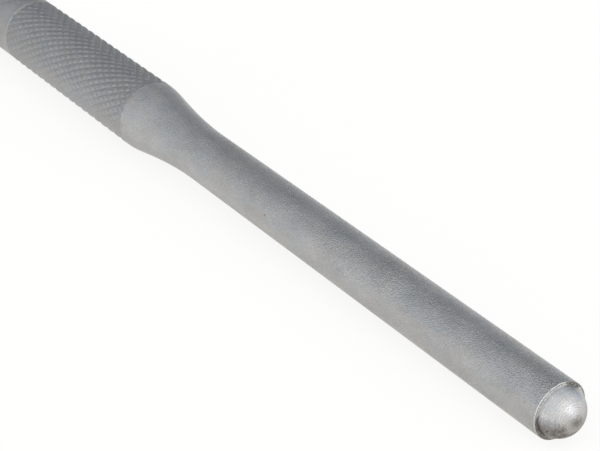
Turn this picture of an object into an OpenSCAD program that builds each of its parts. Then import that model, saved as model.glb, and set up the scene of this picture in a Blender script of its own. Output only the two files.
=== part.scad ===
// Pin punch, turned from one steel bar: striking head, knurled grip, shoulder, straight shank
// and a rounded pilot nose. The punch lies along +X, from the centre of the striking face at the
// origin to the nose. All sizes are in millimetres.

/* [Striking head] */
// Diameter of the bar, which the plain band of the head keeps
bar_d = 11.11; // [9:0.01:16]
// Length of the head, from the striking face to the knurling
head_len = 12.65; // [6:0.05:30]
// Bevel round the striking face
face_bevel = 1.1; // [0.2:0.05:2]
// Length of the bevel that faces the knurling
band_bevel = 0.15; // [0.05:0.05:1]

/* [Knurled grip] */
// Length of the knurled grip
grip_len = 39.7; // [15:0.1:60]
// Width of one diamond round the grip, fitted to a whole number of diamonds
diamond_w = 1.25; // [1.1:0.01:2.5]
// Length of one diamond along the grip, fitted to a whole number of half diamonds
diamond_len = 2.2; // [2:0.05:4]
// Depth of the grooves, from the points of the diamonds
groove_depth = 0.15; // [0.05:0.01:0.4]
// Height of the points above the bar, raised by the rolling of the grooves
point_rise = 0.06; // [0:0.01:0.15]

/* [Shoulder] */
// Length of the shoulder, from the knurling to the straight shank
shoulder_len = 17; // [8:0.1:30]

/* [Shank] */
// Diameter of the shank
shank_d = 7.94; // [4:0.01:8.8]
// Length of the straight shank
shank_len = 80; // [20:0.5:150]
// Bevel at the edge of the shank's end face
rim_bevel = 0.1; // [0.05:0.01:0.25]

/* [Pilot nose] */
// Width of the flat land between the nose and the edge of the shank
land_w = 0.51; // [0.3:0.01:0.8]
// Distance from the end face back to the centre of the nose's ball
ball_setback = 0.4; // [0.05:0.05:1]
// Diameter of the small flat at the nose's pole
pole_flat_d = 0.9; // [0.2:0.1:1.5]

/* [Hidden] */
$fn = 96;

blasted_steel = [0.62, 0.63, 0.63];
knurled_steel = [0.55, 0.57, 0.58];
turned_steel = [0.74, 0.75, 0.75];

bar_r = bar_d / 2;
shank_r = shank_d / 2;

// Knurling: each diamond is a pyramid whose four corners lie at the bottom of the grooves
point_r = bar_r + point_rise;
groove_r = point_r - groove_depth;
corners = 2 * round(PI * bar_d / diamond_w);
rows = round(2 * grip_len / diamond_len);
row_len = grip_len / rows;

// Shoulder: the outline leaves the shank slowly and turns into the bar quickly. The shares say how
// far along the shoulder each end of the curve holds its straight course.
shoulder_hold_shares = [0.51, 0.11];
shoulder_steps = 24;

// Nose: a ball that passes through the inner edge of the land
root_r = shank_r - land_w;
ball_r = sqrt(root_r ^ 2 + ball_setback ^ 2);
nose_len = sqrt(ball_r ^ 2 - (pole_flat_d / 2) ^ 2) - ball_setback;

// Where each length begins along the punch
grip_x = head_len;
shoulder_x = grip_x + grip_len;
shank_x = shoulder_x + shoulder_len;
nose_x = shank_x + shank_len;

// Stands a shape that is drawn up +Z along the punch, with its foot at x
module along(x) {
    translate([x, 0, 0]) rotate([0, 90, 0]) children();
}

// Turns an outline of [radius, height] points, closed down the axis
module turned(outline) {
    first = outline[0];
    last = outline[len(outline) - 1];
    rotate_extrude() polygon(concat([[0, first.y]], outline, [[0, last.y]]));
}

// One ring of corners, at the bottom of a groove and on a point by turns
function knurl_ring(row) =
    let (top_r = row == 0 || row == rows ? bar_r : point_r)
    [for (i = [0 : corners - 1])
        let (r = (i + row) % 2 == 0 ? groove_r : top_r, turn = 360 * i / corners)
        [r * cos(turn), r * sin(turn), row * row_len]];

// The two faces between neighbouring corners of two rings, split along the bottom of the groove
function knurl_faces(row, i) =
    let (
        next = (i + 1) % corners,
        low = row * corners + i,
        low_next = row * corners + next,
        high = low + corners,
        high_next = low_next + corners
    )
    (i + row) % 2 == 0
        ? [[low, high, high_next], [low, high_next, low_next]]
        : [[low, high, low_next], [high, high_next, low_next]];

// Easing curve of the shoulder: its place along the shoulder and its rise, both as shares, at t
function shoulder_share(t) =
    let (hold = shoulder_hold_shares, late = 3 * (1 - t) * t ^ 2, early = 3 * (1 - t) ^ 2 * t)
    [early * hold[0] + late * (1 - hold[1]) + t ^ 3, late + t ^ 3];

module striking_head() {
    color(blasted_steel) along(0) turned([
        [bar_r - face_bevel, 0],
        [bar_r, face_bevel],
        [bar_r, head_len - band_bevel],
        [groove_r, head_len],
    ]);
}

module knurled_grip() {
    ring_points = [for (row = [0 : rows]) each knurl_ring(row)];
    foot = len(ring_points);
    top = foot + 1;
    last_ring = rows * corners;
    color(knurled_steel) along(grip_x) polyhedron(
        points = concat(ring_points, [[0, 0, 0], [0, 0, grip_len]]),
        faces = concat(
            [for (row = [0 : rows - 1], i = [0 : corners - 1]) each knurl_faces(row, i)],
            [for (i = [0 : corners - 1]) [foot, i, (i + 1) % corners]],
            [for (i = [0 : corners - 1]) [top, last_ring + (i + 1) % corners, last_ring + i]]
        )
    );
}

module shoulder() {
    color(blasted_steel) along(shoulder_x) turned([
        for (step = [shoulder_steps : -1 : 0])
            let (share = shoulder_share(step / shoulder_steps))
            [shank_r + (bar_r - shank_r) * share.y, shoulder_len * (1 - share.x)]
    ]);
}

module shank() {
    color(blasted_steel) along(shank_x) turned([
        [shank_r, 0],
        [shank_r, shank_len - rim_bevel],
        [shank_r - rim_bevel, shank_len],
    ]);
}

module pilot_nose() {
    color(turned_steel) along(nose_x) intersection() {
        translate([0, 0, -ball_setback]) sphere(r = ball_r);
        cylinder(r = shank_r, h = nose_len);
    }
}

striking_head();
knurled_grip();
shoulder();
shank();
pilot_nose();
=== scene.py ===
"""Pin punch in bare steel: its visible surfaces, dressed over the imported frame.

The punch lies along +X with the centre of its striking face at the origin. All
lengths are in metres, in the frame's own axes. Angles round the punch start at
the side that faces -Y and grow over the top, so the direction at angle a is
(y, z) = (-cos a, sin a).
"""

import logging
import math
from collections.abc import Callable
from dataclasses import dataclass
from enum import Enum

import bmesh
import bpy
from mathutils import Euler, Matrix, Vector, noise


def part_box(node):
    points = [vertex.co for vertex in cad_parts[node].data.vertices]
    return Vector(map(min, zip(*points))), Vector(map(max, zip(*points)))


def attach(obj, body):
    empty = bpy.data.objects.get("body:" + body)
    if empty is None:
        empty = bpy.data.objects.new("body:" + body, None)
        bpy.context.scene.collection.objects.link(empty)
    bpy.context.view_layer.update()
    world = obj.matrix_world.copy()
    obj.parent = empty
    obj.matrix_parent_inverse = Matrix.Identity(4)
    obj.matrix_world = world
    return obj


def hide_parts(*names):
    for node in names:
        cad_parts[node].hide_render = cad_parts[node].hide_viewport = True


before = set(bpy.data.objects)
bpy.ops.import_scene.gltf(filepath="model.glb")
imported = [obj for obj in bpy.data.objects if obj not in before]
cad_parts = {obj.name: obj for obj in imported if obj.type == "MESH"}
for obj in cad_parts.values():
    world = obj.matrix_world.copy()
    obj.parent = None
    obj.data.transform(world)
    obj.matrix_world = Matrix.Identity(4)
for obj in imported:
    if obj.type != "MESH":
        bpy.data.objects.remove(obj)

log = logging.getLogger("pin_punch")

MM = 0.001
BODY = "root"
WHITE = (1.0, 1.0, 1.0, 1.0)

Socket = bpy.types.NodeSocket
Pair = tuple[float, float]
Triple = tuple[float, float, float]
Colour = Triple
Moved = Triple


class Slot(Enum):
    """Material slots of the record that the pieces take their finish from."""

    BLASTED = "blasted_steel"
    KNURLED = "knurled_steel"
    TURNED = "turned_steel"


class Zone(Enum):
    """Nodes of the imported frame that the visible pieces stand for."""

    HEAD = "striking_head"
    GRIP = "knurled_grip"
    SHOULDER = "shoulder"
    SHANK = "shank"
    NOSE = "pilot_nose"


class Mark(Enum):
    """Values that the meshes carry at each point, for the finishes to read."""

    WORN = "worn"
    # Torn steel, with the painted shadow line under the shank's rim and the nose's painted shade in it.
    TORN_AND_SHADE = "torn"
    GROOVE = "groove"


def eased(value: float, low: float, high: float) -> float:
    """Eases from 0 at low to 1 at high.

    Args:
        value: The value to place between the two ends.
        low: Where the result leaves 0.
        high: Where the result reaches 1.

    Returns:
        A share from 0 to 1.
    """
    share = min(1.0, max(0.0, (value - low) / (high - low)))
    return share * share * (3.0 - 2.0 * share)


def ripple(x: float, y: float, z: float = 0.0) -> float:
    """Returns smooth, repeatable noise of about -1 to 1."""
    return noise.noise(Vector((x, y, z)))


def rgba(colour: Colour) -> tuple[float, float, float, float]:
    """Returns the colour with full alpha."""
    return (*colour, 1.0)


def placed(name: str, data: bpy.types.ID) -> bpy.types.Object:
    """Puts an object into the scene, at the origin.

    Args:
        name: Name of the object.
        data: Its mesh, lamp or camera.

    Returns:
        The object.
    """
    thing = bpy.data.objects.new(name, data)
    bpy.context.scene.collection.objects.link(thing)
    return thing


class NodeCanvas:
    """Adds and joins the nodes of one tree, so that a recipe reads from top to bottom."""

    def __init__(self, tree: bpy.types.NodeTree) -> None:
        """Keeps the tree that the nodes go into."""
        self.tree = tree

    @classmethod
    def cleared(cls, owner: bpy.types.Material | bpy.types.World) -> "NodeCanvas":
        """Opens the nodes of a material or world, without the ones that it starts with.

        Args:
            owner: The material or world.

        Returns:
            The canvas of its tree.
        """
        owner.use_nodes = True
        owner.node_tree.nodes.clear()
        return cls(owner.node_tree)

    def feed(self, socket: Socket, value: object) -> None:
        """Gives an input a constant, or joins it to an output.

        Args:
            socket: The input.
            value: A constant, or the output that feeds it.
        """
        if isinstance(value, Socket):
            self.tree.links.new(value, socket)
        else:
            socket.default_value = value

    def add(self, kind: str, values: dict | None = None, **settings: object) -> bpy.types.Node:
        """Adds one node.

        Args:
            kind: Blender's name of the node type.
            values: Input name or number to a constant or to the output that feeds it.
            settings: Properties of the node itself, such as its operation.

        Returns:
            The new node.
        """
        node = self.tree.nodes.new(kind)
        for name, value in settings.items():
            setattr(node, name, value)
        for key, value in (values or {}).items():
            self.feed(node.inputs[key], value)
        return node

    def math(self, operation: str, *values: object, clamp: bool = False) -> Socket:
        """Returns an operation on numbers or outputs, held between 0 and 1 where clamped."""
        operands = dict(enumerate(values))
        return self.add("ShaderNodeMath", operands, operation=operation, use_clamp=clamp).outputs[0]

    def times(self, first: object, second: object) -> Socket:
        """Returns the product of two numbers or outputs."""
        return self.math("MULTIPLY", first, second)

    def plus_share(self, value: object, share: object, base: object) -> Socket:
        """Returns the base plus a share of the value."""
        return self.math("MULTIPLY_ADD", value, share, base)

    def swing(self, value: Socket, depth: float) -> Socket:
        """Turns a value about 0.5 into a factor about 1 that spans the depth."""
        return self.plus_share(value, depth, 1.0 - depth / 2)

    def vector(self, operation: str, values: dict) -> Socket:
        """Returns the vector that a Vector Math operation gives."""
        return self.add("ShaderNodeVectorMath", values, operation=operation).outputs[0]

    def parts(self, vector: Socket) -> bpy.types.bpy_prop_collection:
        """Returns the X, Y and Z of a vector."""
        return self.add("ShaderNodeSeparateXYZ", {0: vector}).outputs

    def whole(self, *parts: object) -> Socket:
        """Returns the vector with the given X, Y and Z."""
        return self.add("ShaderNodeCombineXYZ", dict(enumerate(parts))).outputs[0]

    def off_axis(self, parts: bpy.types.bpy_prop_collection) -> Socket:
        """Returns how far the place with these parts is from the X axis."""
        square = self.plus_share(parts[1], parts[1], self.times(parts[2], parts[2]))
        return self.math("SQRT", square)

    def spread(self, value: object, low: object, high: object, soft: bool = False) -> Socket:
        """Maps a value from low..high to 0..1.

        Args:
            value: The output that is mapped.
            low: Where the result is 0.
            high: Where the result is 1.
            soft: Whether it eases in and out.

        Returns:
            The mapped value.
        """
        values = {"Value": value, "From Min": low, "From Max": high}
        kind = "SMOOTHSTEP" if soft else "LINEAR"
        return self.add("ShaderNodeMapRange", values, interpolation_type=kind).outputs["Result"]

    def mix(self, share: object, first: object, second: object) -> Socket:
        """Mixes two colours.

        Args:
            share: How much of the second colour is taken.
            first: Colour at share 0.
            second: Colour at share 1.

        Returns:
            The mixed colour.
        """
        node = self.add("ShaderNodeMix", data_type="RGBA")
        colours = [socket for socket in node.inputs if socket.type == "RGBA"]
        self.feed(node.inputs[0], share)
        self.feed(colours[0], first)
        self.feed(colours[1], second)
        return next(socket for socket in node.outputs if socket.type == "RGBA")

    def noise(self, vector: object, size: object, **values: object) -> Socket:
        """Returns noise about 0.5 with features of this size. The values are its other inputs."""
        scale = self.math("DIVIDE", 1.0, size)
        return self.add("ShaderNodeTexNoise", {"Vector": vector, "Scale": scale, **values}).outputs[0]

    def mark(self, mark: Mark) -> Socket:
        """Returns the value that the mesh carries under a mark."""
        return self.add("ShaderNodeAttribute", attribute_name=mark.value).outputs["Fac"]

    def group(self, group: bpy.types.NodeTree, values: dict) -> dict[str, Socket]:
        """Places a shader node group and returns its outputs by name."""
        node = self.add("ShaderNodeGroup", values, node_tree=group)
        return {socket.name: socket for socket in node.outputs}

    def bump(self, height: object, depth: float, normal: Socket | None = None) -> Socket:
        """Adds a Bump node.

        Args:
            height: Height of the relief.
            depth: Metres for a height of 1.
            normal: Normal of a coarser relief below this one.

        Returns:
            The bumped normal.
        """
        values = {"Height": height, "Distance": depth, "Strength": 1.0}
        if normal is not None:
            values["Normal"] = normal
        return self.add("ShaderNodeBump", values).outputs[0]

    def background_rays(self, paths: bpy.types.bpy_prop_collection) -> Socket:
        """Returns 1 for the rays that show the plain white behind the object."""
        return self.math("MAXIMUM", paths["Is Camera Ray"], paths["Is Transmission Ray"])


class EffectGroup:
    """A shader node group in the making, with its inputs and its outputs."""

    def __init__(self, name: str, values: tuple[str, ...], outputs: tuple[str, ...]) -> None:
        """Opens the group, which reads its coordinates from an input named Vector.

        Args:
            name: Name of the group.
            values: Names of its other inputs, which are all values.
            outputs: Names of its outputs, which are all values.
        """
        self.tree = bpy.data.node_groups.new(name, "ShaderNodeTree")
        sockets = [("Vector", "INPUT", "NodeSocketVector")]
        sockets += [(label, "INPUT", "NodeSocketFloat") for label in values]
        sockets += [(label, "OUTPUT", "NodeSocketFloat") for label in outputs]
        for label, side, kind in sockets:
            self.tree.interface.new_socket(label, in_out=side, socket_type=kind)
        self.canvas = NodeCanvas(self.tree)
        self.given = self.canvas.add("NodeGroupInput").outputs
        self.result = self.canvas.add("NodeGroupOutput").inputs

    def give(self, values: dict[str, Socket]) -> bpy.types.NodeTree:
        """Joins the outputs.

        Args:
            values: Output names and what feeds them.

        Returns:
            The finished group.
        """
        for label, value in values.items():
            self.canvas.feed(self.result[label], value)
        return self.tree


class SteelEffects:
    """The effects that more than one finish places in its material.

    A second pattern on the same coordinates is read some way aside, so that it is another one.
    """

    speckle_aside = (0.13, 0.29, 0.07)
    hue_aside = (0.31, 0.17, 0.23)
    hue_size_share = 0.8
    noise_span = (0.3, 0.7)
    cloud_span = (0.25, 0.75)
    pit_edge = (0.6, 1.2)
    narrowest_pit = 0.001
    wander_size = 2.2 * MM
    wander_turns = 1.5

    def __init__(self) -> None:
        """Builds each group once."""
        self.grain = self.blast_grain()
        self.clouds = self.soft_clouds()
        self.pits = self.small_pits()
        self.rings = self.lathe_rings()

    def blast_grain(self) -> bpy.types.NodeTree:
        """Makes the fine grain of a blasted surface: its height, and a speckle about 0.5.

        Returns:
            The group.
        """
        group = EffectGroup("blast_grain", ("Size",), ("Height", "Speckle"))
        canvas, place, size = group.canvas, group.given["Vector"], group.given["Size"]
        height = canvas.noise(place, size, Detail=1.5, Roughness=0.6)
        aside = canvas.vector("ADD", {0: place, 1: self.speckle_aside})
        speckle = canvas.spread(canvas.noise(aside, size, Detail=1.0), *self.noise_span)
        return group.give({"Height": height, "Speckle": speckle})

    def soft_clouds(self) -> bpy.types.NodeTree:
        """Makes the soft blotches on the steel: a tone and a hue, both about 0.5.

        Returns:
            The group.
        """
        group = EffectGroup("soft_clouds", ("Size",), ("Tone", "Hue"))
        canvas, place, size = group.canvas, group.given["Vector"], group.given["Size"]
        tone = canvas.noise(place, size, Detail=3.0, Roughness=0.62)
        aside = canvas.vector("ADD", {0: place, 1: self.hue_aside})
        hue = canvas.noise(aside, canvas.times(size, self.hue_size_share), Detail=2.0)
        tone, hue = canvas.spread(tone, *self.cloud_span), canvas.spread(hue, *self.noise_span)
        return group.give({"Tone": tone, "Hue": hue})

    def small_pits(self) -> bpy.types.NodeTree:
        """Makes sparse round pits: 1 in a pit and 0 elsewhere.

        Returns:
            The group.
        """
        group = EffectGroup("small_pits", ("Spacing", "Width Share"), ("Pit",))
        canvas, given = group.canvas, group.given
        scale = canvas.math("DIVIDE", 1.0, given["Spacing"])
        cells = canvas.add("ShaderNodeTexVoronoi", {"Vector": given["Vector"], "Scale": scale}).outputs
        draw = canvas.add("ShaderNodeSeparateColor", {0: cells["Color"]}).outputs[0]
        width = canvas.math("MAXIMUM", canvas.times(given["Width Share"], draw), self.narrowest_pit)
        away = canvas.math("DIVIDE", cells["Distance"], width)
        outside = canvas.spread(away, *self.pit_edge, soft=True)
        return group.give({"Pit": canvas.math("SUBTRACT", 1.0, outside)})

    def lathe_rings(self) -> bpy.types.NodeTree:
        """Makes the rings that a turning tool leaves along its path: a height and a tone.

        Returns:
            The group.
        """
        group = EffectGroup("lathe_rings", ("Along", "Pitch"), ("Height", "Tone"))
        canvas, given = group.canvas, group.given
        turns = canvas.math("DIVIDE", given["Along"], given["Pitch"])
        wander = canvas.noise(given["Vector"], self.wander_size, Detail=2.0)
        place = canvas.plus_share(wander, self.wander_turns, turns)
        values = {"W": place, "Scale": 1.0, "Detail": 2.0, "Roughness": 0.6}
        ring = canvas.add("ShaderNodeTexNoise", values, noise_dimensions="1D").outputs[0]
        return group.give({"Height": ring, "Tone": canvas.spread(ring, *self.noise_span)})


@dataclass
class Coat:
    """A finish in the making.

    Attributes:
        canvas: The material's canvas.
        effects: The shared node groups.
        place: Object coordinates.
        colour: Its colour so far.
        satin: Its roughness so far.
        speckle: Speckle of its grain, about 0.5.
        below: Normal of a relief coarser than the grain, where it has one.
    """

    canvas: NodeCanvas
    effects: SteelEffects
    place: Socket
    colour: Socket
    satin: Socket
    speckle: Socket
    below: Socket | None = None


@dataclass(frozen=True)
class BlastedFinish:
    """Bare steel with a fine blasted grain, clouds drawn out along the punch, and a few pits.

    Colours are linear and lengths are in metres. A depth of colour is a share of its brightness.
    """

    name: str
    base: Colour = (0.477, 0.477, 0.475)
    warm: Colour = (0.486, 0.475, 0.464)
    cool: Colour = (0.455, 0.473, 0.488)
    bright_edge: Colour = (0.70, 0.70, 0.69)
    # Colour of torn scale and pits, and of the painted shade that the torn mark carries.
    scale_and_shade_colour: Colour = (0.115, 0.094, 0.08)
    roughness: float = 0.29
    satin_spread: float = 0.04
    cloud_size: float = 3.0 * MM
    cloud_depth: float = 0.26
    cloud_stretch: Triple = (0.5, 1.0, 1.0)
    grain_size: float = 0.15 * MM
    grain_depth: float = 0.17 * MM
    speckle_depth: float = 0.36
    dent_size: float = 0.7 * MM
    dent_depth: float = 0.055 * MM
    pit_spacing: float = 2.6 * MM
    pit_share: float = 0.065
    pit_depth: float = 1.0
    pit_tint: float = 0.55
    torn_and_shade_tint: float = 1.3
    torn_and_shade_breakup: float = 0.3
    torn_and_shade_dulling: float = 0.25
    worn_polish: float = 0.12

    def material(self, effects: SteelEffects) -> bpy.types.Material:
        """Builds the finish.

        Args:
            effects: The shared node groups.

        Returns:
            The material.
        """
        material = bpy.data.materials.new(self.name)
        canvas = NodeCanvas.cleared(material)
        place = canvas.add("ShaderNodeTexCoord").outputs["Object"]
        drawn_out = canvas.vector("MULTIPLY", {0: place, 1: self.cloud_stretch})
        clouds = canvas.group(effects.clouds, {"Vector": drawn_out, "Size": self.cloud_size})
        grain = canvas.group(effects.grain, {"Vector": place, "Size": self.grain_size})
        spots = {"Vector": place, "Spacing": self.pit_spacing, "Width Share": self.pit_share}
        pit = canvas.group(effects.pits, spots)["Pit"]
        colour = self.clouded(canvas, clouds, grain["Speckle"])
        colour = canvas.mix(canvas.times(pit, self.pit_tint), colour, rgba(self.scale_and_shade_colour))
        satin = canvas.plus_share(clouds["Tone"], self.satin_spread, self.roughness)
        coat = Coat(canvas, effects, place, colour, satin, grain["Speckle"])
        self.add_marks(coat)
        height = canvas.plus_share(pit, -self.pit_depth, grain["Height"])
        shader = canvas.add("ShaderNodeBsdfPrincipled", {
            "Base Color": coat.colour,
            "Metallic": 1.0,
            "Roughness": coat.satin,
            "Normal": canvas.bump(height, self.grain_depth, coat.below),
        })
        canvas.add("ShaderNodeOutputMaterial", {"Surface": shader.outputs[0]})
        return material

    def clouded(self, canvas: NodeCanvas, clouds: dict[str, Socket], speckle: Socket) -> Socket:
        """Lays clouds and speckle over the base colour.

        Args:
            canvas: The material's canvas.
            clouds: Outputs of the soft clouds.
            speckle: Speckle of the grain.

        Returns:
            The colour.
        """
        warmer = canvas.mix(canvas.spread(clouds["Hue"], 0.5, 0.0), rgba(self.base), rgba(self.warm))
        hue = canvas.mix(canvas.spread(clouds["Hue"], 0.5, 1.0), warmer, rgba(self.cool))
        tone = canvas.swing(clouds["Tone"], self.cloud_depth)
        dots = canvas.swing(speckle, self.speckle_depth)
        return canvas.vector("SCALE", {0: hue, "Scale": canvas.times(tone, dots)})

    def lay_scale_and_shade(self, coat: Coat) -> Socket:
        """Lays dark scale where the steel is torn, and painted shade where the mark carries it, broken up
        by the speckle.

        Args:
            coat: The finish so far.

        Returns:
            The mark of the torn steel and the painted shade.
        """
        canvas, torn = coat.canvas, coat.canvas.mark(Mark.TORN_AND_SHADE)
        tint = canvas.times(torn, self.torn_and_shade_tint)
        flecked = canvas.math("MULTIPLY_ADD", coat.speckle, -self.torn_and_shade_breakup, tint, clamp=True)
        coat.colour = canvas.mix(flecked, coat.colour, rgba(self.scale_and_shade_colour))
        return torn

    def add_marks(self, coat: Coat) -> None:
        """Adds what this finish has and the others lack: rubbed edges, torn patches with a painted shadow
        line, and dents.

        Args:
            coat: The finish so far.
        """
        canvas, worn = coat.canvas, coat.canvas.mark(Mark.WORN)
        coat.colour = canvas.mix(worn, coat.colour, rgba(self.bright_edge))
        duller = canvas.plus_share(self.lay_scale_and_shade(coat), self.torn_and_shade_dulling, coat.satin)
        coat.satin = canvas.plus_share(worn, -self.worn_polish, duller)
        dents = canvas.noise(coat.place, self.dent_size, Detail=1.0)
        coat.below = canvas.bump(dents, self.dent_depth)


@dataclass(frozen=True)
class KnurledFinish(BlastedFinish):
    """The blasted steel on the knurling, darker and duller at the bottom of the grooves."""

    base: Colour = (0.42, 0.422, 0.426)
    warm: Colour = (0.43, 0.42, 0.412)
    cool: Colour = (0.405, 0.42, 0.435)
    cloud_depth: float = 0.12
    pit_share: float = 0.0
    groove_colour: Colour = (0.17, 0.18, 0.19)
    groove_share: float = 0.15
    groove_dulling: float = 0.12

    def add_marks(self, coat: Coat) -> None:
        """Darkens and dulls the grooves.

        Args:
            coat: The finish so far.
        """
        canvas, groove = coat.canvas, coat.canvas.mark(Mark.GROOVE)
        # Darker towards the bottom of the grooves.
        groove_darkening = canvas.times(canvas.spread(groove, 0.5, 1.0, soft=True), self.groove_share)
        coat.colour = canvas.mix(groove_darkening, coat.colour, rgba(self.groove_colour))
        coat.satin = canvas.plus_share(groove, self.groove_dulling, coat.satin)


@dataclass(frozen=True)
class TurnedFinish(BlastedFinish):
    """The turned steel of the nose: rings round the axis, with a dull patch at the pole.

    The rings follow the angle from the pole, as seen from the middle of the ball.
    """

    base: Colour = (0.54, 0.545, 0.55)
    warm: Colour = (0.55, 0.54, 0.53)
    cool: Colour = (0.52, 0.535, 0.55)
    cloud_size: float = 1.6 * MM
    grain_size: float = 0.13 * MM
    grain_depth: float = 0.035 * MM
    pit_spacing: float = 0.8 * MM
    ball_x: float = 0.0
    ball_r: float = 1.0
    ring_pitch: float = 0.17 * MM
    ring_depth: float = 0.02 * MM
    ring_tone: float = 0.24
    ring_dulling: float = 0.12
    pole_r: float = 0.6 * MM
    pole_soft: float = 1.1 * MM
    pole_ragged: float = 0.5 * MM
    pole_colour: Colour = (0.31, 0.305, 0.30)
    pole_dulling: float = 0.15

    def add_marks(self, coat: Coat) -> None:
        """Adds the rings, the dull pole, and the streaks and darker sides that the mesh marks, part of them
        painted shade.

        Args:
            coat: The finish so far.
        """
        canvas, parts = coat.canvas, coat.canvas.parts(coat.place)
        away = canvas.off_axis(parts)
        polar = canvas.math("ARCTAN2", away, canvas.math("SUBTRACT", parts[0], self.ball_x))
        path = {"Vector": coat.place, "Along": canvas.times(polar, self.ball_r), "Pitch": self.ring_pitch}
        rings = canvas.group(coat.effects.rings, path)
        tone = canvas.swing(rings["Tone"], self.ring_tone)
        coat.colour = canvas.vector("SCALE", {0: coat.colour, "Scale": tone})
        ragged = canvas.noise(coat.place, self.pole_ragged, Detail=2.0)
        frayed = canvas.plus_share(ragged, self.pole_soft, away)
        outside = canvas.spread(frayed, self.pole_r, self.pole_r + self.pole_soft, soft=True)
        pole = canvas.math("SUBTRACT", 1.0, outside)
        coat.colour = canvas.mix(pole, coat.colour, rgba(self.pole_colour))
        self.lay_scale_and_shade(coat)
        duller = canvas.plus_share(rings["Tone"], self.ring_dulling, coat.satin)
        coat.satin = canvas.plus_share(pole, self.pole_dulling, duller)
        coat.below = canvas.bump(rings["Height"], self.ring_depth)


@dataclass(frozen=True)
class Spot:
    """A point of a turned piece, before its relief.

    Attributes:
        x: Place along the punch.
        r: Radius.
        angle: Direction round the punch.
    """

    x: float
    r: float
    angle: float

    def ripple(self, waves: float, third: float = 0.0) -> float:
        """Returns noise of about -1 to 1 that runs round the punch without a seam."""
        return ripple(waves * math.cos(self.angle), waves * math.sin(self.angle), third)

    def turned_from(self, degrees: float) -> float:
        """Returns the unsigned angle from a direction round the punch, in radians."""
        return abs((self.angle - math.radians(degrees) + math.pi) % math.tau - math.pi)


@dataclass(frozen=True)
class Lumps:
    """Noise over a turned face.

    Attributes:
        waves: How close its lumps are round the punch.
        size: Their size along the radius.
        draw: Tells it from other noise of the same size.
    """

    waves: float
    size: float
    draw: float = 0.0

    def at(self, spot: Spot) -> float:
        """Returns the noise at a point, about -1 to 1."""
        return spot.ripple(self.waves, self.draw + spot.r / self.size)


@dataclass(frozen=True)
class Station:
    """One ring of a turned piece, or a corner of its outline.

    Attributes:
        x: Place along the punch.
        r: Radius.
        crisp: Whether the ring is a sharp edge.
        worn: How far the ring is rubbed bright, from 0 to 1.
        rounding: Radius that rounds the corner, or 0.
        steps: Stretches that part the way to it from the one before.
        way_worn: How far that way is rubbed bright.
    """

    x: float
    r: float
    crisp: bool = False
    worn: float = 0.0
    rounding: float = 0.0
    steps: int = 1
    way_worn: float = 0.0

    @property
    def place(self) -> Vector:
        """The station on the plane of the outline."""
        return Vector((self.x, self.r))


class Outline:
    """Outline of a turned piece, drawn through its corners."""

    arc_steps = 4
    worn_at_arc_ends = 0.4

    def __init__(self, corners: list[Station]) -> None:
        """Draws the outline.

        Args:
            corners: The corners from one closed end to the other, from the lowest x.
        """
        self.stations: list[Station] = []
        for number, corner in enumerate(corners):
            arc = [corner]
            if corner.rounding:
                arc = self.rounded(corners[number - 1], corner, corners[number + 1])
            if self.stations:
                self.stations += self.way(self.stations[-1], arc[0], corner)
            self.stations += arc

    def rounded(self, before: Station, corner: Station, after: Station) -> list[Station]:
        """Rounds a corner.

        Args:
            before: The corner before it.
            corner: The corner.
            after: The corner after it.

        Returns:
            The stations of the arc, most worn at its middle.
        """
        here, radius = corner.place, corner.rounding
        back = (before.place - here).normalized()
        onward = (after.place - here).normalized()
        half = back.angle(onward) / 2.0
        centre = here + (back + onward).normalized() * (radius / math.sin(half))
        reach = radius / math.tan(half)
        first, last = here + back * reach - centre, here + onward * reach - centre
        stations = []
        for step in range(self.arc_steps + 1):
            share = step / self.arc_steps
            place = centre + first.lerp(last, share).normalized() * radius
            bulge = (1.0 - self.worn_at_arc_ends) * math.sin(math.pi * share)
            stations.append(Station(place.x, place.y, worn=corner.worn * (self.worn_at_arc_ends + bulge)))
        return stations

    @staticmethod
    def way(first: Station, last: Station, corner: Station) -> list[Station]:
        """Parts the way to a corner into even stretches.

        Args:
            first: The station before them.
            last: The station after them.
            corner: The corner, which says how many stretches there are and how worn they are.

        Returns:
            The stations, without either end.
        """
        along, outwards = last.x - first.x, last.r - first.r
        shares = [step / corner.steps for step in range(1, corner.steps)]
        return [
            Station(first.x + along * share, first.r + outwards * share, worn=corner.way_worn)
            for share in shares
        ]


def unmoved(spot: Spot) -> Moved:
    """Leaves a point of a turned piece where it is, and untorn."""
    return spot.x, spot.r, 0.0


def ring_faces(rings: int, around: int) -> list[tuple[int, ...]]:
    """Lists the faces of a turned piece with a hub point at each end.

    Args:
        rings: Number of rings.
        around: Points on each ring.

    Returns:
        The faces, as point numbers, with the two hubs numbered after all the rings.
    """
    faces = []
    final = (rings - 1) * around
    for low in range(0, final, around):
        high = low + around
        for step in range(around):
            following = (step + 1) % around
            faces.append((low + step, high + step, high + following, low + following))
    foot = rings * around
    for step in range(around):
        following = (step + 1) % around
        faces.append((foot, step, following))
        faces.append((foot + 1, final + following, final + step))
    return faces


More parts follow.
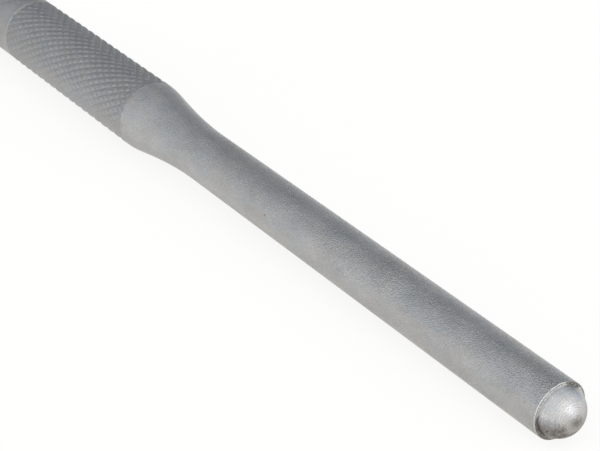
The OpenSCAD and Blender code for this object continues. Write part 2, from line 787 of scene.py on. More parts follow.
def turned_piece(
    name: str, corners: list[Station], around: int, relief: Callable[[Spot], Moved] = unmoved
) -> bpy.types.Object:
    """Turns an outline into a closed mesh round the X axis.

    Args:
        name: Name of the piece.
        corners: Corners of the outline, from the lowest x.
        around: Points on each ring.
        relief: Gives a point's moved x and radius, and how torn it is, with any painted shade.

    Returns:
        The object, at the origin.
    """
    stations = Outline(corners).stations
    points, worn, torn = [], [], []
    for station in stations:
        for step in range(around):
            angle = math.tau * step / around
            x, r, tear_and_shade = relief(Spot(station.x, station.r, angle))
            points.append((x, -r * math.cos(angle), r * math.sin(angle)))
            worn.append(station.worn)
            torn.append(tear_and_shade)
    points += [(station.x, 0.0, 0.0) for station in (stations[0], stations[-1])]
    mesh = bpy.data.meshes.new(name)
    mesh.from_pydata(points, [], ring_faces(len(stations), around))
    mesh.shade_smooth()
    for mark, values in ((Mark.WORN, worn), (Mark.TORN_AND_SHADE, torn)):
        shares = [*values, 0.0, 0.0]
        mesh.attributes.new(mark.value, "FLOAT", "POINT").data.foreach_set("value", shares)
    crisp = {number for number, station in enumerate(stations) if station.crisp}
    for edge in mesh.edges:
        rings = {point // around for point in edge.vertices}
        edge.use_edge_sharp = len(rings) == 1 and rings <= crisp
    return placed(name, mesh)


@dataclass(frozen=True)
class PunchSizes:
    """Sizes that more than one piece needs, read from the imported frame.

    Attributes:
        grip_x: Where the head ends and the knurling begins.
        shoulder_x: Where the knurling ends.
        shank_x: Where the straight shank begins.
        nose_x: The shank's end face.
        bar_r: Radius of the bar.
        point_r: Radius over the points of the knurling.
        shank_r: Radius of the shank.
        root_r: Radius of the nose where it leaves the end face.
        groove_depth: Depth of the knurling's grooves below its points.
        around: Points round each turned piece.
    """

    grip_x: float
    shoulder_x: float
    shank_x: float
    nose_x: float
    bar_r: float
    point_r: float
    shank_r: float
    root_r: float
    groove_depth: float = 0.13 * MM
    around: int = 384

    @classmethod
    def from_frame(cls) -> "PunchSizes":
        """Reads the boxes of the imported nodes.

        Returns:
            The sizes.
        """
        low, high = {}, {}
        for zone in Zone:
            low[zone], high[zone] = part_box(zone.value)
        return cls(
            grip_x=high[Zone.HEAD].x,
            shoulder_x=high[Zone.GRIP].x,
            shank_x=low[Zone.SHANK].x,
            nose_x=high[Zone.SHANK].x,
            bar_r=-low[Zone.HEAD].z,
            point_r=-low[Zone.GRIP].z,
            shank_r=-low[Zone.SHANK].z,
            root_r=-low[Zone.NOSE].z,
        )


@dataclass
class StrikingHead:
    """Plain band of the bar with its bevelled, faced striking end.

    Attributes:
        hub_r: Radius of the first ring round the middle of the face.
        ring_pitch: Width of a tool ring.
        ring_wander: How far a ring strays, in pitches.
        ring_reach: How far the rings go up the face's rounded edge, as a share of its radius.
    """

    sizes: PunchSizes
    face_bevel: float = 1.1 * MM
    band_bevel: float = 0.15 * MM
    edge_r: float = 0.12 * MM
    band_edge_r: float = 0.06 * MM
    hub_r: float = 0.15 * MM
    ring_pitch: float = 0.24 * MM
    ring_height: float = 0.0035 * MM
    ring_wander: float = 0.3
    ring_reach: float = 0.2
    face_steps: int = 44
    bevel_steps: int = 8
    band_steps: int = 24

    def build(self) -> bpy.types.Object:
        """Turns the head.

        Returns:
            The piece.
        """
        sizes, edge_r = self.sizes, self.edge_r
        band_end = sizes.grip_x - self.band_bevel
        return turned_piece("head_surface", [
            Station(0.0, self.hub_r),
            Station(0.0, sizes.bar_r - self.face_bevel, worn=0.45, rounding=edge_r, steps=self.face_steps),
            Station(self.face_bevel, sizes.bar_r, worn=0.35, rounding=edge_r, steps=self.bevel_steps),
            Station(band_end, sizes.bar_r, worn=0.6, rounding=self.band_edge_r, steps=self.band_steps),
            Station(sizes.grip_x, sizes.point_r - sizes.groove_depth, crisp=True),
        ], sizes.around, self.faced)

    def faced(self, spot: Spot) -> Moved:
        """Gives the striking face its faint tool rings.

        Args:
            spot: The point.

        Returns:
            The moved x, the radius, and no tearing.
        """
        if spot.x >= self.ring_reach * self.edge_r:
            return spot.x, spot.r, 0.0
        wander = self.ring_wander * spot.ripple(1.0, spot.r / MM)
        ring = 0.5 + 0.5 * math.sin(math.tau * (spot.r / self.ring_pitch + wander))
        return spot.x + self.ring_height * ring, spot.r, 0.0


@dataclass
class KnurledGrip:
    """Rolled diamond knurling, grown by a Geometry Nodes tree.

    Attributes:
        diamonds_round: Diamonds round the bar.
        rows: Half diamonds along the grip.
        rings: Rings of points that draw one diamond.
        side_steps: Stretches along each side of a ring.
        crest_share: How much of a diamond's half width its flat crest takes.
        root_share: How much of it the flat bottom of the groove takes.
        unevenness: How far the crests are lowered at most.
        run_out_rows: Half diamonds over which the knurling runs out at the shoulder.
        wear_size: Size of the noise that lowers the crests.
        merge_within: Distance within which the edges of neighbours are joined.
    """

    sizes: PunchSizes
    diamonds_round: int = 28
    rows: int = 36
    rings: int = 6
    side_steps: int = 2
    crest_share: float = 0.3
    root_share: float = 0.02
    unevenness: float = 0.016 * MM
    run_out_rows: float = 1.4
    wear_size: float = 0.9 * MM
    merge_within: float = 0.002 * MM

    def build(self, material: bpy.types.Material) -> bpy.types.Object:
        """Grows the knurling and bakes it to a plain closed mesh.

        Args:
            material: Finish that the tree sets.

        Returns:
            The piece.
        """
        sizes = self.sizes
        values = {
            "Diamonds Round": self.diamonds_round,
            "Rows": self.rows,
            "Row Length": (sizes.shoulder_x - sizes.grip_x) / self.rows,
            "Start": sizes.grip_x,
            "Point Radius": sizes.point_r,
            "Bar Radius": sizes.bar_r,
            "Groove Depth": sizes.groove_depth,
            "Unevenness": self.unevenness,
            "Material": material,
        }
        piece = placed("grip_surface", bpy.data.meshes.new("grip_surface"))
        modifier = piece.modifiers.new("knurling", "NODES")
        modifier.node_group = DiamondTree(self).tree
        for item in modifier.node_group.interface.items_tree:
            if item.in_out == "INPUT":
                modifier[item.identifier] = values[item.name]
        graph = bpy.context.evaluated_depsgraph_get()
        grown = bpy.data.meshes.new_from_object(piece.evaluated_get(graph))
        piece.modifiers.remove(modifier)
        piece.data = grown
        grown.name = piece.name
        self.close_ends(grown)
        return piece

    def close_ends(self, mesh: bpy.types.Mesh) -> None:
        """Closes both ends with a fan, and turns every face outwards.

        Args:
            mesh: The baked knurling, open at both ends.
        """
        drawing = bmesh.new()
        drawing.from_mesh(mesh)
        middle_x = (self.sizes.grip_x + self.sizes.shoulder_x) / 2.0
        open_edges = [edge for edge in drawing.edges if edge.is_boundary]
        for x in (self.sizes.grip_x, self.sizes.shoulder_x):
            hub = drawing.verts.new((x, 0.0, 0.0))
            for edge in open_edges:
                first, second = edge.verts
                if (first.co.x < middle_x) == (x < middle_x):
                    drawing.faces.new((hub, first, second))
                    edge.smooth = False
        bmesh.ops.recalc_face_normals(drawing, faces=drawing.faces)
        drawing.to_mesh(mesh)
        drawing.free()
        mesh.update()


class DiamondTree:
    """Geometry Nodes tree that grows the knurling from one diamond.

    A diamond is a low pyramid with a small flat crest. It is drawn as rings of points round its
    middle, so its ridges and its edges at the bottom of the grooves are true edges of the mesh.
    Half its width is an angle round the bar, and half its length is the length of a row.
    """

    inputs = {
        "Diamonds Round": "Int",
        "Rows": "Int",
        "Row Length": "Float",
        "Start": "Float",
        "Point Radius": "Float",
        "Bar Radius": "Float",
        "Groove Depth": "Float",
        "Unevenness": "Float",
        "Material": "Material",
    }

    def __init__(self, grip: KnurledGrip) -> None:
        """Builds the tree, with a named input for each size.

        Args:
            grip: The grip, which says how a diamond is drawn.
        """
        self.grip = grip
        self.tree = bpy.data.node_groups.new("diamond_knurling", "GeometryNodeTree")
        for label, kind in self.inputs.items():
            self.tree.interface.new_socket(label, in_out="INPUT", socket_type="NodeSocket" + kind)
        self.tree.interface.new_socket("Geometry", in_out="OUTPUT", socket_type="NodeSocketGeometry")
        canvas = self.canvas = NodeCanvas(self.tree)
        given = self.given = canvas.add("NodeGroupInput").outputs
        self.place = canvas.add("GeometryNodeInputPosition").outputs[0]
        self.parts = canvas.parts(self.place)
        self.half_angle = canvas.math("DIVIDE", math.pi, given["Diamonds Round"])
        tile = self.diamond()
        spots, turn = self.spots()
        copies = {"Points": spots, "Instance": tile, "Rotation": canvas.whole(turn)}
        spread_out = canvas.add("GeometryNodeInstanceOnPoints", copies).outputs[0]
        whole = canvas.add("GeometryNodeRealizeInstances", {0: spread_out}).outputs[0]
        settled = self.settled(self.trimmed(whole))
        smooth = canvas.add("GeometryNodeSetShadeSmooth", {"Geometry": settled}).outputs[0]
        dressed = canvas.add("GeometryNodeSetMaterial", {"Geometry": smooth, "Material": given["Material"]})
        canvas.add("NodeGroupOutput", {"Geometry": dressed.outputs[0]})

    def merged(self, surface: Socket) -> Socket:
        """Returns the surface with its coincident points joined."""
        values = {"Geometry": surface, "Distance": self.grip.merge_within}
        return self.canvas.add("GeometryNodeMergeByDistance", values).outputs[0]

    def diamond(self) -> Socket:
        """Draws one diamond on the bar, at angle 0 and place 0.

        Returns:
            Its geometry, which carries how deep in the groove each point is.
        """
        canvas, given, grip = self.canvas, self.given, self.grip
        grid = canvas.add("GeometryNodeMeshGrid", {
            "Size X": 1.0,
            "Size Y": 1.0,
            "Vertices X": 4 * grip.side_steps + 1,
            "Vertices Y": grip.rings + 1,
        })
        corner = canvas.plus_share(self.parts[0], 4.0, 2.0)
        ring = canvas.math("ADD", self.parts[1], 0.5)
        first = 1.0 / grip.rings
        slope = (1.0 - grip.crest_share) / (1.0 - first)
        on_crest = canvas.times(ring, grip.crest_share / first)
        width = canvas.math("MINIMUM", on_crest, canvas.plus_share(ring, slope, 1.0 - slope))
        across = canvas.math("SUBTRACT", canvas.math("PINGPONG", corner, 2.0), 1.0)
        next_corner = canvas.math("ADD", corner, 1.0)
        along = canvas.math("SUBTRACT", canvas.math("PINGPONG", next_corner, 2.0), 1.0)
        depth = canvas.spread(width, grip.crest_share, 1.0 - grip.root_share, soft=True)
        marked = canvas.add("GeometryNodeStoreNamedAttribute", {
            "Geometry": grid.outputs[0],
            "Name": Mark.GROOVE.value,
            "Value": depth,
        }, data_type="FLOAT", domain="POINT").outputs[0]
        angle = canvas.times(canvas.times(across, width), self.half_angle)
        radius = canvas.math("SUBTRACT", given["Point Radius"], canvas.times(given["Groove Depth"], depth))
        x = canvas.times(canvas.times(along, width), given["Row Length"])
        y = canvas.times(radius, canvas.math("SINE", angle))
        up = canvas.times(canvas.times(radius, canvas.math("COSINE", angle)), -1.0)
        bent = {"Geometry": marked, "Position": canvas.whole(x, y, up)}
        return self.merged(canvas.add("GeometryNodeSetPosition", bent).outputs[0])

    def spots(self) -> tuple[Socket, Socket]:
        """Lays out one point for each diamond, staggered from row to row.

        Returns:
            The points on the axis, and the turn of each diamond.
        """
        canvas, given = self.canvas, self.given
        number = canvas.add("GeometryNodeInputIndex").outputs[0]
        ring = given["Diamonds Round"]
        row = canvas.math("FLOOR", canvas.math("DIVIDE", canvas.math("ADD", number, 0.5), ring))
        column = canvas.math("SUBTRACT", number, canvas.times(row, ring))
        stagger = canvas.math("SUBTRACT", 1.0, canvas.math("MODULO", row, 2.0))
        turn = canvas.times(canvas.plus_share(column, 2.0, stagger), self.half_angle)
        x = canvas.plus_share(row, given["Row Length"], given["Start"])
        count = canvas.times(ring, canvas.math("ADD", given["Rows"], 1.0))
        points = canvas.add("GeometryNodePoints", {"Count": count, "Position": canvas.whole(x)})
        return points.outputs[0], turn

    def trimmed(self, whole: Socket) -> Socket:
        """Cuts off the halves of the end diamonds that reach past the grip, and joins the rest.

        Args:
            whole: The realized diamonds.

        Returns:
            The joined surface.
        """
        canvas, given = self.canvas, self.given
        inside = canvas.math("SUBTRACT", self.parts[0], given["Start"])
        before = canvas.math("LESS_THAN", inside, 0.0)
        after = canvas.math("GREATER_THAN", inside, canvas.times(given["Rows"], given["Row Length"]))
        past = {"Geometry": whole, "Selection": canvas.math("ADD", before, after)}
        return self.merged(canvas.add("GeometryNodeDeleteGeometry", past, domain="FACE").outputs[0])

    def settled(self, surface: Socket) -> Socket:
        """Lowers the points to the bar at both ends, and makes the crests a little uneven.

        Args:
            surface: The joined surface.

        Returns:
            The final surface.
        """
        canvas, given, parts = self.canvas, self.given, self.parts
        drawn = canvas.off_axis(parts)
        row = canvas.math("DIVIDE", canvas.math("SUBTRACT", parts[0], given["Start"]), given["Row Length"])
        to_shoulder = canvas.math("SUBTRACT", given["Rows"], row)
        run_out = canvas.spread(to_shoulder, 0.0, self.grip.run_out_rows, soft=True)
        sunk = canvas.times(canvas.math("SUBTRACT", given["Point Radius"], drawn), run_out)
        radius = canvas.math("SUBTRACT", given["Point Radius"], sunk)
        inner = canvas.spread(canvas.math("MINIMUM", row, to_shoulder), 0.0, 1.0)
        rise = canvas.math("SUBTRACT", given["Point Radius"], given["Bar Radius"])
        cap = canvas.plus_share(rise, inner, given["Bar Radius"])
        wear = canvas.noise(self.place, self.grip.wear_size, Detail=2.0)
        groove = canvas.add("GeometryNodeInputNamedAttribute", {"Name": Mark.GROOVE.value}).outputs[0]
        on_crest = canvas.math("SUBTRACT", 1.0, groove)
        dip = canvas.times(canvas.times(wear, on_crest), given["Unevenness"])
        lowered = canvas.plus_share(canvas.times(dip, inner), -1.0, radius)
        share = canvas.math("DIVIDE", canvas.math("MINIMUM", lowered, cap), drawn)
        moved = canvas.whole(parts[0], canvas.times(parts[1], share), canvas.times(parts[2], share))
        return canvas.add("GeometryNodeSetPosition", {"Geometry": surface, "Position": moved}).outputs[0]


@dataclass
class Shoulder:
    """Curved taper from the bar down to the shank.

    Attributes:
        shank_hold: Share of its length for which the curve holds the shank's course.
        bar_hold: The same at the bar's end.
    """

    sizes: PunchSizes
    shank_hold: float = 0.51
    bar_hold: float = 0.11
    edge_r: float = 0.05 * MM
    edge_worn: float = 0.35
    steps: int = 96

    def build(self) -> bpy.types.Object:
        """Turns the shoulder.

        Returns:
            The piece.
        """
        sizes, edge_r = self.sizes, self.edge_r
        return turned_piece("shoulder_surface", [
            Station(sizes.shoulder_x, sizes.bar_r - 2.0 * edge_r, crisp=True),
            Station(sizes.shoulder_x, sizes.bar_r, worn=self.edge_worn, rounding=edge_r),
            *(self.on_curve(1.0 - step / self.steps) for step in range(1, self.steps)),
            Station(sizes.shank_x, sizes.shank_r, crisp=True),
        ], sizes.around)

    def on_curve(self, share: float) -> Station:
        """Finds a station of the easing curve.

        Args:
            share: 0 at the shank's end of the curve and 1 at the bar's end.

        Returns:
            The station.
        """
        sizes, rest = self.sizes, 1.0 - share
        late, early = 3.0 * rest * share**2, 3.0 * rest**2 * share
        along = early * self.shank_hold + late * (1.0 - self.bar_hold) + share**3
        rise = late + share**3
        x = sizes.shank_x - (sizes.shank_x - sizes.shoulder_x) * along
        return Station(x, sizes.shank_r + (sizes.bar_r - sizes.shank_r) * rise)


@dataclass(frozen=True)
class TornPatch:
    """A stretch of the land where the tool tore the steel. Its angles are in degrees.

    Attributes:
        middle: Direction of its middle.
        half_width: Half its width.
        depth: How far the steel is torn out.
        over_rim: How far it darkens the rim as well, as a share.
        fray: How far its ends wander.
        fade: Width over which its ends fade in.
    """

    middle: float
    half_width: float
    depth: float
    over_rim: float = 0.0
    fray: float = 9.0
    fade: float = 12.0

    def share(self, spot: Spot, raggedness: float) -> float:
        """Says how torn the patch is at a point.

        Args:
            spot: The point.
            raggedness: Noise of about -1 to 1 that frays its ends.

        Returns:
            A share from 0 to 1.
        """
        inside = self.half_width - math.degrees(spot.turned_from(self.middle))
        return eased(inside + self.fray * raggedness, 0.0, self.fade)


@dataclass
class Shank:
    """Straight shank, with the narrow land round the nose that the tool left torn in places, and a painted
    shadow line under its rim.

    Attributes:
        rim_bevel: Bevel between the shank and the land.
        rim_r: Radius that rounds the bevel's edge on the shank.
        land_edge_r: The same on the land.
        burr: How far the rim dips between the lumps of its burr.
        burr_reach: How far before the end face the burr begins.
        burr_lumps: Share, waves and draw of each noise that the burr is made of.
        fine_reach: How far before the end face the rings begin to lie closer.
        finest_reach: How far before it they lie closest.
        under_nose: How far the land goes on beneath the nose.
        rim_worn: How far the rim is rubbed bright.
        land_worn: How far the land is turned bright.
        shadow_line_outer: How far inside the bevel the painted shadow line below it is full.
        shadow_line_inner: How far inside the bevel that painted shadow line ends.
        shadow_line_tint: How dark the painted shadow line is.
        chip_tint: How dark the small chips of the land are.
        chip_and_shade_tint: Darkness of the chips and of the painted shadow line, as a share of the torn
            patches'.
        scar_depth: Depth of both.
        fray: Noise that frays the ends of the patches.
        grit: Noise that roughens them.
        torn_by_grit: How torn a patch is without grit, and how far grit changes it.
        deep_by_grit: The same for its depth.
        chips: Noise that lays out the small chips.
        chip_span: Values of that noise between which a chip sets in.
        shadow_line_span: Values of a noise round the rim between which the painted shadow line sets in.
        land_span: Depths below the rim between which the land sets in, as shares of the bevel.
        steps: Stretches of the outline to each of its corners.
    """

    sizes: PunchSizes
    rim_bevel: float = 0.1 * MM
    rim_r: float = 0.05 * MM
    land_edge_r: float = 0.04 * MM
    burr: float = 0.012 * MM
    burr_reach: float = 0.3 * MM
    burr_lumps: tuple[Triple, ...] = ((0.4, 9.0, 0.0), (0.6, 40.0, 5.0))
    fine_reach: float = 1.2 * MM
    finest_reach: float = 0.2 * MM
    under_nose: float = 0.35 * MM
    rim_worn: float = 1.0
    land_worn: float = 0.9
    shadow_line_outer: float = 0.08 * MM
    shadow_line_inner: float = 0.15 * MM
    shadow_line_tint: float = 0.85
    chip_tint: float = 0.35
    chip_and_shade_tint: float = 0.85
    scar_depth: float = 0.03 * MM
    fray: Lumps = Lumps(5.0, 0.3 * MM)
    grit: Lumps = Lumps(30.0, 0.12 * MM)
    torn_by_grit: Pair = (0.65, 0.5)
    deep_by_grit: Pair = (0.7, 0.3)
    chips: Lumps = Lumps(14.0, 0.35 * MM, draw=3.0)
    chip_span: Pair = (0.42, 0.7)
    shadow_line_span: Pair = (-0.8, 0.1)
    land_span: Pair = (0.9, 1.4)
    steps: tuple[int, ...] = (24, 5, 4, 2, 18)
    patches: tuple[TornPatch, ...] = (
        TornPatch(120.0, 26.0, 0.10 * MM, over_rim=0.5),
        TornPatch(328.0, 44.0, 0.08 * MM),
        TornPatch(205.0, 18.0, 0.06 * MM),
    )

    def build(self) -> bpy.types.Object:
        """Turns the shank, with its rings closer towards the rim.

        Returns:
            The piece.
        """
        sizes, end, r = self.sizes, self.sizes.nose_x, self.sizes.shank_r
        inner, land = r - self.rim_bevel, self.land_worn
        foot_r = sizes.root_r - self.under_nose
        to_fine, to_finest, to_rim, over_bevel, over_land = self.steps
        return turned_piece("shank_surface", [
            Station(sizes.shank_x, r, crisp=True),
            Station(end - self.fine_reach, r, steps=to_fine),
            Station(end - self.finest_reach, r, steps=to_finest),
            Station(end - self.rim_bevel, r, worn=self.rim_worn, rounding=self.rim_r, steps=to_rim),
            Station(end, inner, worn=land, rounding=self.land_edge_r, steps=over_bevel, way_worn=land),
            Station(end, foot_r, crisp=True, worn=land, steps=over_land, way_worn=land),
        ], sizes.around, self.weathered)

    def weathered(self, spot: Spot) -> Moved:
        """Tears the land, paints a shadow line under its rim, and roughens the burr at its rim.

        Args:
            spot: The point.

        Returns:
            The moved x and radius, and how torn the point is, with the painted shadow line in it.
        """
        x, r, rim_r = spot.x, spot.r, self.sizes.shank_r
        fray = self.fray.at(spot)
        shares = [patch.share(spot, fray) for patch in self.patches]
        on_land = eased(rim_r - r, *(share * self.rim_bevel for share in self.land_span))
        if on_land == 0.0:
            return self.burred(spot, shares)
        depth = max(patch.depth * share for patch, share in zip(self.patches, shares))
        grit = self.grit.at(spot)
        chip = self.chip_tint * eased(self.chips.at(spot), *self.chip_span)
        # The line just inside the bevel is painted shade under the rim, in a slight dip.
        edge = rim_r - self.rim_bevel
        line = eased(r, edge - self.shadow_line_inner, edge - self.shadow_line_outer)
        line *= eased(spot.ripple(self.fray.waves), *self.shadow_line_span)
        chip_and_shade = max(chip, self.shadow_line_tint * line)
        darker, deeper = (least + change * grit for least, change in (self.torn_by_grit, self.deep_by_grit))
        torn = on_land * max(max(shares) * darker, self.chip_and_shade_tint * chip_and_shade)
        sunk = on_land * (depth * deeper + self.scar_depth * chip_and_shade)
        return x - sunk, r, min(1.0, max(0.0, torn))

    def burred(self, spot: Spot, shares: list[float]) -> Moved:
        """Roughens the rim, outside the land.

        Args:
            spot: The point.
            shares: How torn each patch is in its direction.

        Returns:
            The x, the moved radius, and how torn the point is.
        """
        end = self.sizes.nose_x
        at_rim = eased(spot.x, end - self.burr_reach, end - self.rim_bevel)
        lumps = sum(share * spot.ripple(waves, draw) for share, waves, draw in self.burr_lumps)
        lip = self.burr * at_rim * lumps
        over_rim = max(patch.over_rim * share for patch, share in zip(self.patches, shares))
        return spot.x, min(spot.r, spot.r + lip), at_rim * over_rim


@dataclass(frozen=True)
class MarkedSide:
    """A side of the ball that is drawn darker.

    Attributes:
        middle: Direction of its middle, in degrees.
        turned: Cosines of the turn away from its middle between which it sets in.
        polar: Angles from the pole, in radians, between which it sets in.
        side_darkening: How dark it is drawn.
    """

    middle: float
    turned: Pair
    polar: Pair
    side_darkening: float

    def share(self, spot: Spot, polar: float) -> float:
        """Returns how far a point lies in it, from 0 to 1, given its angle from the pole."""
        turned = eased(math.cos(spot.angle - math.radians(self.middle)), *self.turned)
        return turned * eased(polar, *self.polar)


@dataclass
class PilotNose:
    """Turned ball nose with fine tool ridges, low chatter and a small flat at its pole.

    Attributes:
        ball_setback: Distance from the end face back to the middle of the ball.
        pole_r: Radius of the flat at the pole.
        sunk: How deep its foot stands in the shank.
        ridge_pitch: Width of a tool ridge.
        ridge_height: Height of a tool ridge.
        ridge_drop: How far the ridges are lowered, as a share of that height.
        ridge_noise: Lumps to a pitch, and draw, of the noise that makes the ridges.
        wander: Depth, waves and length in pitches of the noise that makes them wander.
        streak_depth: Depth of the streaks that chatter left.
        streak_tint: How dark they are.
        streak_noise: Waves, and lumps to a pitch, of the noise that lays them out.
        streak_span: Values of that noise between which a streak sets in.
        blotch_noise: Waves, and lumps to a pitch, of the noise that blotches the darker sides.
        blotch_tint: How dark the sides are drawn between the blotches, and how much darker in them.
        low_side: The lower side, with chatter, drawn darker.
        far_side: The far side, darkened by painted shade alone.
        steps: Stretches from the land to the pole's flat.
    """

    sizes: PunchSizes
    ball_setback: float = 0.4 * MM
    pole_r: float = 0.45 * MM
    sunk: float = 0.3 * MM
    ridge_pitch: float = 0.25 * MM
    ridge_height: float = 0.005 * MM
    ridge_drop: float = 0.6
    ridge_noise: Pair = (1.3, 7.0)
    wander: Triple = (0.7, 1.5, 6.0)
    streak_depth: float = 0.02 * MM
    streak_tint: float = 0.8
    streak_noise: Pair = (6.0, 0.9)
    streak_span: Pair = (0.05, 0.5)
    blotch_noise: Pair = (2.5, 0.4)
    blotch_tint: Pair = (0.5, 0.7)
    low_side: MarkedSide = MarkedSide(305.0, (0.15, 0.9), (0.25, 0.6), side_darkening=0.75)
    # The far side's darkening is painted shade.
    far_side: MarkedSide = MarkedSide(190.0, (0.5, 0.95), (0.4, 0.8), side_darkening=0.35)
    steps: int = 120

    @property
    def ball_x(self) -> float:
        """Place of the ball's middle along the punch."""
        return self.sizes.nose_x - self.ball_setback

    @property
    def ball_r(self) -> float:
        """Radius of the ball, which meets the land's inner edge."""
        return math.hypot(self.sizes.root_r, self.ball_setback)

    def build(self) -> bpy.types.Object:
        """Turns the nose.

        Returns:
            The piece.
        """
        widest = math.atan2(self.sizes.root_r, self.ball_setback)
        last = math.asin(self.pole_r / self.ball_r)
        stations = [Station(self.sizes.nose_x - self.sunk, self.sizes.root_r, crisp=True)]
        for step in range(self.steps + 1):
            polar = widest + (last - widest) * step / self.steps
            stations.append(Station(*self.on_ball(polar, self.ball_r)))
        rim = stations[-1]
        stations += [Station(rim.x, rim.r * share) for share in (0.92, 0.7, 0.45, 0.2)]
        return turned_piece("nose_surface", stations, self.sizes.around, self.ridged)

    def on_ball(self, polar: float, radius: float) -> Pair:
        """Returns the x and the distance from the axis at an angle from the pole."""
        return self.ball_x + radius * math.cos(polar), radius * math.sin(polar)

    def ridged(self, spot: Spot) -> Moved:
        """Cuts the tool ridges into the ball, with rough chatter low on one side, and darkens two sides;
        the far side's darkening is painted shade.

        Args:
            spot: The point.

        Returns:
            The moved x and radius, and how dark the point's mark is, painted shade on the far side
            included.
        """
        if spot.x < self.sizes.nose_x or spot.r < self.pole_r:
            return spot.x, spot.r, 0.0
        polar = math.atan2(spot.r, spot.x - self.ball_x)
        along = polar * self.ball_r / self.ridge_pitch
        depth, waves, length = self.wander
        crowding, draw = self.ridge_noise
        ridge = ripple(along * crowding + depth * spot.ripple(waves, along / length), draw)
        low_side, far_side = self.low_side.share(spot, polar), self.far_side.share(spot, polar)
        waves, crowding = self.streak_noise
        streak = low_side * eased(spot.ripple(waves, along * crowding), *self.streak_span)
        waves, crowding = self.blotch_noise
        blotch = 0.5 + 0.5 * spot.ripple(waves, along * crowding)
        between, darker = self.blotch_tint
        # Darker sides: low on one side, and painted shade on the far side.
        side_darkening = self.low_side.side_darkening * low_side + self.far_side.side_darkening * far_side
        side_darkening *= between + darker * blotch
        radius = self.ball_r + self.ridge_height * (ridge - self.ridge_drop) - self.streak_depth * streak
        return *self.on_ball(polar, radius), min(1.0, max(self.streak_tint * streak, side_darkening))


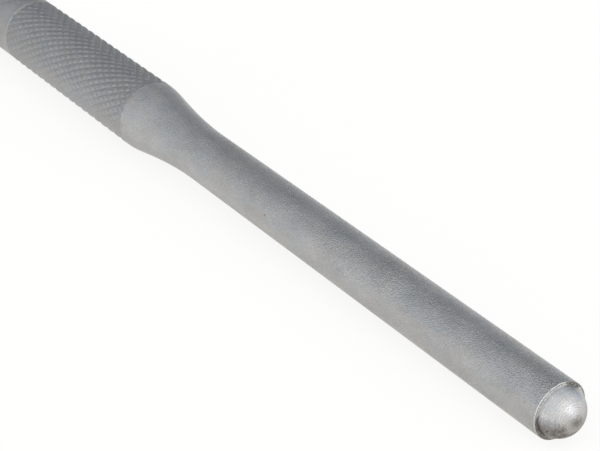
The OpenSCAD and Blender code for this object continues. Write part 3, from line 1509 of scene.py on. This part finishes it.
@dataclass(frozen=True)
class Studio:
    """Pale floor, light tent, one soft lamp and the camera of the photograph.

    Attributes:
        floor_reach: How far the floor goes to each side.
        white_share: How far the camera sees the floor as white paper, without its shadows.
        white_strength: Brightness of that white.
        shine_share: The same as white_share, for what the steel reflects.
        dim_span: Places along the punch between which the floor dims in the steel.
        dim_depth: How far it dims beyond the head.
        painted_shadow_middle: Middle of the strip of floor beside the punch where a painted shadow darkens
            what the steel reflects.
        painted_shadow_reach: Half the width of that painted shadow strip.
        painted_shadow_colour: Colour of the painted shadow at the strip's middle.
        bright_side: Direction of the tent's bright side.
        tent: Brightness of the tent by how far a direction turns to the bright side.
        sweep_span: Heights, as sines of their angles, over which the white sweep ends.
        sweep_ends: Directions along X over which it sets in.
        camera_from_end: The camera's place, from the middle of the shank's end.
        camera_heading: Its turn about the vertical, in degrees.
        camera_drop: How far it looks down, in degrees.
    """

    sizes: PunchSizes
    floor_reach: float = 4.0
    floor_colour: Colour = (0.93, 0.90, 0.85)
    white_share: float = 0.84
    white_strength: float = 1.03
    shine_share: float = 0.95
    dim_span: Pair = (0.03, -0.03)
    dim_depth: float = 0.4
    painted_shadow_middle: float = 5.0 * MM
    painted_shadow_reach: float = 16.0 * MM
    painted_shadow_colour: Colour = (0.58, 0.54, 0.47)
    bright_side: Triple = (0.861, -0.497, 0.105)
    tent: tuple[tuple[float, Colour], ...] = (
        (0.00, (0.18, 0.185, 0.195)),
        (0.10, (0.145, 0.15, 0.165)),
        (0.17, (0.235, 0.25, 0.28)),
        (0.225, (0.41, 0.435, 0.485)),
        (0.275, (0.61, 0.66, 0.73)),
        (0.35, (0.82, 0.875, 0.945)),
        (0.425, (0.91, 0.935, 0.975)),
        (0.55, (0.95, 0.95, 0.95)),
        (0.75, (1.12, 1.12, 1.12)),
        (1.00, (1.25, 1.25, 1.25)),
    )
    sweep_span: Pair = (0.12, 0.06)
    sweep_ends: Pair = (-0.95, -0.80)
    lamp_place: Triple = (1.30, 0.27, 0.545)
    lamp_size: float = 0.7
    lamp_power: float = 2.2
    camera_from_end: Triple = (0.13998, -0.13085, 0.12962)
    camera_heading: float = 56.21
    camera_drop: float = 28.91
    camera_lens: float = 115.25
    camera_sensor: float = 36.0
    camera_clip: float = 0.01

    def build(self) -> None:
        """Makes the floor, the tent, the lamp and the camera."""
        self.make_floor()
        self.make_tent()
        self.make_lamp()
        self.make_camera()
        bpy.context.scene.view_settings.view_transform = "Standard"

    def make_floor(self) -> None:
        """Lays the floor under the punch, which rests on its knurling and on the rim of its shank."""
        sizes, reach = self.sizes, self.floor_reach
        drop = (sizes.point_r - sizes.shank_r) / (sizes.nose_x - sizes.shoulder_x)
        corners = []
        for x, y in ((-reach, -reach), (reach, -reach), (reach, reach), (-reach, reach)):
            corners.append((x, y, -sizes.point_r + (x - sizes.shoulder_x) * drop))
        mesh = bpy.data.meshes.new("floor")
        mesh.from_pydata(corners, [], [(0, 1, 2, 3)])
        mesh.materials.append(self.floor_paper())
        placed("floor", mesh)

    def floor_paper(self) -> bpy.types.Material:
        """Makes the floor's material, which shows white behind the object, keeps its shadow, and paints a
        shadow strip beside the punch into what the steel reflects.

        Returns:
            The material.
        """
        material = bpy.data.materials.new("pale_floor")
        canvas = NodeCanvas.cleared(material)
        paths = canvas.add("ShaderNodeLightPath").outputs
        seen = canvas.times(canvas.background_rays(paths), self.white_share)
        shine = canvas.times(paths["Is Glossy Ray"], self.shine_share)
        parts = canvas.parts(canvas.add("ShaderNodeTexCoord").outputs["Object"])
        past_head = canvas.spread(parts[0], *self.dim_span, soft=True)
        # A painted shadow beside the punch, seen only in what the steel reflects.
        aside = canvas.math("ABSOLUTE", canvas.math("SUBTRACT", parts[1], self.painted_shadow_middle))
        painted_shadow = canvas.times(canvas.spread(aside, self.painted_shadow_reach, 0.0), paths["Is Glossy Ray"])
        dim = canvas.times(canvas.times(shine, past_head), self.dim_depth)
        strength = canvas.times(canvas.math("SUBTRACT", 1.0, dim), self.white_strength)
        colour = canvas.mix(painted_shadow, WHITE, rgba(self.painted_shadow_colour))
        paper = canvas.add("ShaderNodeBsdfDiffuse", {"Color": rgba(self.floor_colour)})
        white = canvas.add("ShaderNodeEmission", {"Color": colour, "Strength": strength})
        shares = {0: canvas.math("MAXIMUM", seen, shine), 1: paper.outputs[0], 2: white.outputs[0]}
        mixed = canvas.add("ShaderNodeMixShader", shares)
        canvas.add("ShaderNodeOutputMaterial", {"Surface": mixed.outputs[0]})
        return material

    def make_tent(self) -> None:
        """Makes the world: a white sweep that the camera and the steel see, and a tent above it."""
        world = bpy.data.worlds.new("light_tent")
        bpy.context.scene.world = world
        canvas = NodeCanvas.cleared(world)
        direction = canvas.add("ShaderNodeTexCoord").outputs["Generated"]
        both = {0: direction, 1: self.bright_side}
        facing = canvas.add("ShaderNodeVectorMath", both, operation="DOT_PRODUCT").outputs["Value"]
        ramp = canvas.add("ShaderNodeValToRGB", {0: canvas.spread(facing, -1.0, 1.0)})
        stops = ramp.color_ramp.elements
        while len(stops) < len(self.tent):
            stops.new(0.5)
        for stop, (place, colour) in zip(stops, self.tent):
            stop.position = place
            stop.color = rgba(colour)
        parts = canvas.parts(direction)
        below = canvas.spread(parts[2], *self.sweep_span, soft=True)
        aside = canvas.spread(parts[0], *self.sweep_ends, soft=True)
        paths = canvas.add("ShaderNodeLightPath").outputs
        sweep = canvas.times(paths["Is Glossy Ray"], canvas.times(below, aside))
        white = canvas.math("MAXIMUM", canvas.background_rays(paths), sweep)
        colour = canvas.mix(white, ramp.outputs[0], WHITE)
        light = canvas.add("ShaderNodeBackground", {"Color": colour, "Strength": 1.0})
        canvas.add("ShaderNodeOutputWorld", {"Surface": light.outputs[0]})

    def make_lamp(self) -> None:
        """Hangs the soft lamp in front of the nose, aimed at the end of the shank."""
        lamp = bpy.data.lights.new("soft_lamp", "AREA")
        lamp.shape = "DISK"
        lamp.size = self.lamp_size
        lamp.energy = self.lamp_power
        stand = placed("soft_lamp", lamp)
        stand.location = self.lamp_place
        aim = Vector((self.sizes.nose_x, 0.0, 0.0)) - Vector(self.lamp_place)
        stand.rotation_euler = aim.to_track_quat("-Z", "Y").to_euler()

    def make_camera(self) -> None:
        """Sets the camera where the photograph was taken from, placed from the shank's end."""
        camera = bpy.data.cameras.new("photo_camera")
        camera.sensor_width = self.camera_sensor
        camera.lens = self.camera_lens
        camera.clip_start = self.camera_clip
        tripod = placed("photo_camera", camera)
        tripod.location = Vector((self.sizes.nose_x, 0.0, 0.0)) + Vector(self.camera_from_end)
        tilt = math.radians(90.0 - self.camera_drop)
        tripod.rotation_euler = Euler((tilt, 0.0, math.radians(self.camera_heading)))
        bpy.context.scene.camera = tripod


@dataclass
class PinPunch:
    """The whole punch: five zones of one piece of steel, each with its finish."""

    sizes: PunchSizes

    def build(self, effects: SteelEffects) -> None:
        """Builds every piece, dresses it and hands it to the frame.

        Args:
            effects: The shared node groups.
        """
        sizes = self.sizes
        nose = PilotNose(sizes)
        blasted = BlastedFinish(Slot.BLASTED.value).material(effects)
        knurled = KnurledFinish(Slot.KNURLED.value).material(effects)
        turned = TurnedFinish(Slot.TURNED.value, ball_x=nose.ball_x, ball_r=nose.ball_r).material(effects)
        self.place(StrikingHead(sizes).build(), Zone.HEAD, Slot.BLASTED, blasted)
        self.place(KnurledGrip(sizes).build(knurled), Zone.GRIP, Slot.KNURLED)
        self.place(Shoulder(sizes).build(), Zone.SHOULDER, Slot.BLASTED, blasted)
        self.place(Shank(sizes).build(), Zone.SHANK, Slot.BLASTED, blasted)
        self.place(nose.build(), Zone.NOSE, Slot.TURNED, turned)

    @staticmethod
    def place(
        piece: bpy.types.Object, zone: Zone, slot: Slot, material: bpy.types.Material | None = None
    ) -> None:
        """Hands a piece to the frame, in place of its node.

        Args:
            piece: The finished piece.
            zone: Node that it stands for.
            slot: Material slot that it takes its finish from.
            material: Its finish, or None where the piece has it already.
        """
        if material is not None:
            piece.data.materials.append(material)
        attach(piece, BODY)
        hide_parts(zone.value)
        log.info("%s: %d faces, %s", piece.name, len(piece.data.polygons), slot.value)


def main() -> None:
    """Builds the punch and its studio."""
    logging.basicConfig(level=logging.INFO, format="%(name)s: %(message)s")
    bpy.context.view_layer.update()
    sizes = PunchSizes.from_frame()
    PinPunch(sizes).build(SteelEffects())
    Studio(sizes).build()


if __name__ == "__main__":
    main()
